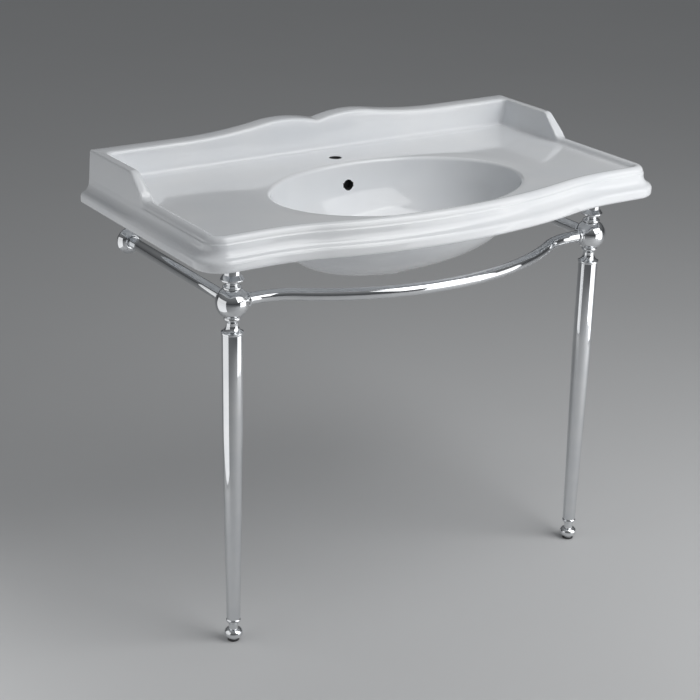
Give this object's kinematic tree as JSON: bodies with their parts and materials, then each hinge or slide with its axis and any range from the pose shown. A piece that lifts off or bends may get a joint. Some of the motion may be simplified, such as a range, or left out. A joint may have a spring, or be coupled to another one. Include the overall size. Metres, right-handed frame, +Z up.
{
  "type": "console basin with legs",
  "caption": "Wall-fixed console wash basin of glazed fireclay with a bowed moulded front and a shaped backsplash, on turned tapered metal legs joined by a bowed rail.",
  "frame": {"origin": "on the floor, under the middle of the basin's overall width and depth", "axes": "+Z up, +X to the right seen from the front, +Y towards the wall, which is the plane Y = 0.2725"},
  "size_m": [1, 0.545, 0.875],
  "materials": {
    "glaze": "gloss white glaze",
    "chrome": "polished chrome plate on brass",
    "steel": "plain",
    "soft_pad": "matt",
    "glide": "matt"
  },
  "bodies": {
    "stand_and_basin": {"basin": "glaze", "left_corner_ball": "chrome", "left_upper_column": "chrome", "left_basin_support": "chrome", "left_support_pad": "soft_pad", "left_leg_stud": "steel", "left_leg_collar": "chrome", "left_leg_tube": "chrome", "left_leg_ferrule": "chrome", "left_side_rail": "chrome", "left_side_rail_ring": "chrome", "left_front_rail_ring": "chrome", "left_wall_rosette": "chrome", "left_wall_bracket": "steel", "right_corner_ball": "chrome", "right_upper_column": "chrome", "right_basin_support": "chrome", "right_support_pad": "soft_pad", "right_leg_stud": "steel", "right_leg_collar": "chrome", "right_leg_tube": "chrome", "right_leg_ferrule": "chrome", "right_side_rail": "chrome", "right_side_rail_ring": "chrome", "right_front_rail_ring": "chrome", "right_wall_rosette": "chrome", "right_wall_bracket": "steel", "front_rail": "chrome", "rail_grub_screws": "steel"},
    "left_foot": {"left_levelling_foot": "chrome", "left_foot_glide": "glide"},
    "right_foot": {"right_levelling_foot": "chrome", "right_foot_glide": "glide"}
  },
  "joints": [
    {"name": "left_foot_screw", "type": "slide", "parent": "stand_and_basin", "child": "left_foot", "axis": [0, 0, -1], "range_m": [0, 0.01]},
    {"name": "right_foot_screw", "type": "slide", "parent": "stand_and_basin", "child": "right_foot", "axis": [0, 0, -1], "range_m": [0, 0.01]}
  ]
}
